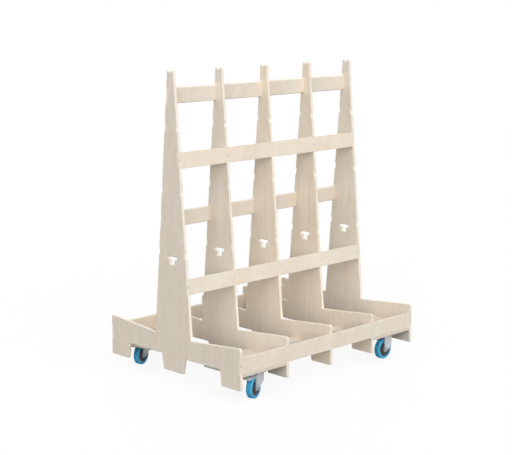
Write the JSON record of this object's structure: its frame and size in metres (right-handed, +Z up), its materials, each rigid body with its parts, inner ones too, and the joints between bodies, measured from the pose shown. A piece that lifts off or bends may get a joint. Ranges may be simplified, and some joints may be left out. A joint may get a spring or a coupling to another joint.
{
  "type": "glazing trolley",
  "caption": "Two-sided A-frame plywood trolley for glass panes: tapered ribs joined by rails and fascias, on turning braked casters and fixed casters.",
  "frame": {"origin": "middle of the bounding box at floor level, where the wheels touch the floor", "axes": "+Z up; X along the rails, with the turning casters at -X; the front is -Y"},
  "size_m": [1.5, 1.12, 1.823],
  "materials": {
    "rib_plywood": "sanded birch plywood",
    "rail_plywood": "sanded birch plywood",
    "base_plywood": "sanded birch plywood",
    "zinc_screws": "zinc plated",
    "bolt_steel": "zinc plated",
    "bearing_steel": "ground",
    "fork_steel": "zinc plated pressed steel",
    "rim": "moulded nylon",
    "tyre": "blue elastic rubber",
    "shoe": "moulded"
  },
  "bodies": {
    "frame": {"rib_1": "rib_plywood", "rib_2": "rib_plywood", "rib_3": "rib_plywood", "rib_4": "rib_plywood", "rib_5": "rib_plywood", "front_lower_rail": "rail_plywood", "front_upper_rail": "rail_plywood", "rear_lower_rail": "rail_plywood", "rear_upper_rail": "rail_plywood", "front_fascia": "rail_plywood", "rear_fascia": "rail_plywood", "front_base_plank": "base_plywood", "rear_base_plank": "base_plywood", "front_left_caster_board": "base_plywood", "rear_left_caster_board": "base_plywood", "front_right_caster_board": "base_plywood", "rear_right_caster_board": "base_plywood", "rail_screws": "zinc_screws", "fascia_screws": "zinc_screws", "plank_screws": "zinc_screws", "caster_bolts": "bolt_steel", "caster_nuts": "bolt_steel", "front_left_top_plate": "fork_steel", "rear_left_top_plate": "fork_steel", "kingpins": "bolt_steel", "upper_races": "bearing_steel", "front_right_fork": "fork_steel", "rear_right_fork": "fork_steel", "fixed_axle_bolts": "bolt_steel", "fixed_axle_nuts": "bolt_steel", "fixed_axle_sleeves": "bolt_steel"},
    "front_left_caster": {"front_left_fork": "fork_steel", "front_left_swivel_balls": "bearing_steel", "front_left_axle_bolt": "bolt_steel", "front_left_axle_nut": "bolt_steel", "front_left_axle_sleeve": "bolt_steel", "front_left_pedal_pin": "bolt_steel"},
    "front_left_brake": {"front_left_brake_pedal": "fork_steel", "front_left_brake_shoe": "shoe"},
    "front_left_wheel": {"front_left_rim": "rim", "front_left_tyre": "tyre", "front_left_bearings": "bearing_steel"},
    "rear_left_caster": {"rear_left_fork": "fork_steel", "rear_left_swivel_balls": "bearing_steel", "rear_left_axle_bolt": "bolt_steel", "rear_left_axle_nut": "bolt_steel", "rear_left_axle_sleeve": "bolt_steel", "rear_left_pedal_pin": "bolt_steel"},
    "rear_left_brake": {"rear_left_brake_pedal": "fork_steel", "rear_left_brake_shoe": "shoe"},
    "rear_left_wheel": {"rear_left_rim": "rim", "rear_left_tyre": "tyre", "rear_left_bearings": "bearing_steel"},
    "front_right_wheel": {"front_right_rim": "rim", "front_right_tyre": "tyre", "front_right_bearings": "bearing_steel"},
    "rear_right_wheel": {"rear_right_rim": "rim", "rear_right_tyre": "tyre", "rear_right_bearings": "bearing_steel"}
  },
  "joints": [
    {"name": "front_left_swivel", "type": "hinge", "parent": "frame", "child": "front_left_caster", "pos_m": [-0.55575, -0.48899, 0.1385], "axis": [0, 0, 1], "continuous": true},
    {"name": "front_left_brake_turn", "type": "hinge", "parent": "front_left_caster", "child": "front_left_brake", "pos_m": [-0.5976, -0.50259, 0.13345], "axis": [0.309, -0.9511, 0], "range_deg": [0, 6.7]},
    {"name": "front_left_wheel_spin", "type": "hinge", "parent": "front_left_caster", "child": "front_left_wheel", "pos_m": [-0.59189, -0.50074, 0.0625], "axis": [-0.309, 0.9511, 0], "continuous": true},
    {"name": "rear_left_swivel", "type": "hinge", "parent": "frame", "child": "rear_left_caster", "pos_m": [-0.55575, 0.48899, 0.1385], "axis": [0, 0, 1], "continuous": true},
    {"name": "rear_left_brake_turn", "type": "hinge", "parent": "rear_left_caster", "child": "rear_left_brake", "pos_m": [-0.5976, 0.4754, 0.13345], "axis": [0.309, -0.9511, 0], "range_deg": [0, 6.7]},
    {"name": "rear_left_wheel_spin", "type": "hinge", "parent": "rear_left_caster", "child": "rear_left_wheel", "pos_m": [-0.59189, 0.47725, 0.0625], "axis": [-0.309, 0.9511, 0], "continuous": true},
    {"name": "front_right_wheel_spin", "type": "hinge", "parent": "frame", "child": "front_right_wheel", "pos_m": [0.55575, -0.48899, 0.0625], "axis": [0, 1, 0], "continuous": true},
    {"name": "rear_right_wheel_spin", "type": "hinge", "parent": "frame", "child": "rear_right_wheel", "pos_m": [0.55575, 0.48899, 0.0625], "axis": [0, 1, 0], "continuous": true}
  ]
}
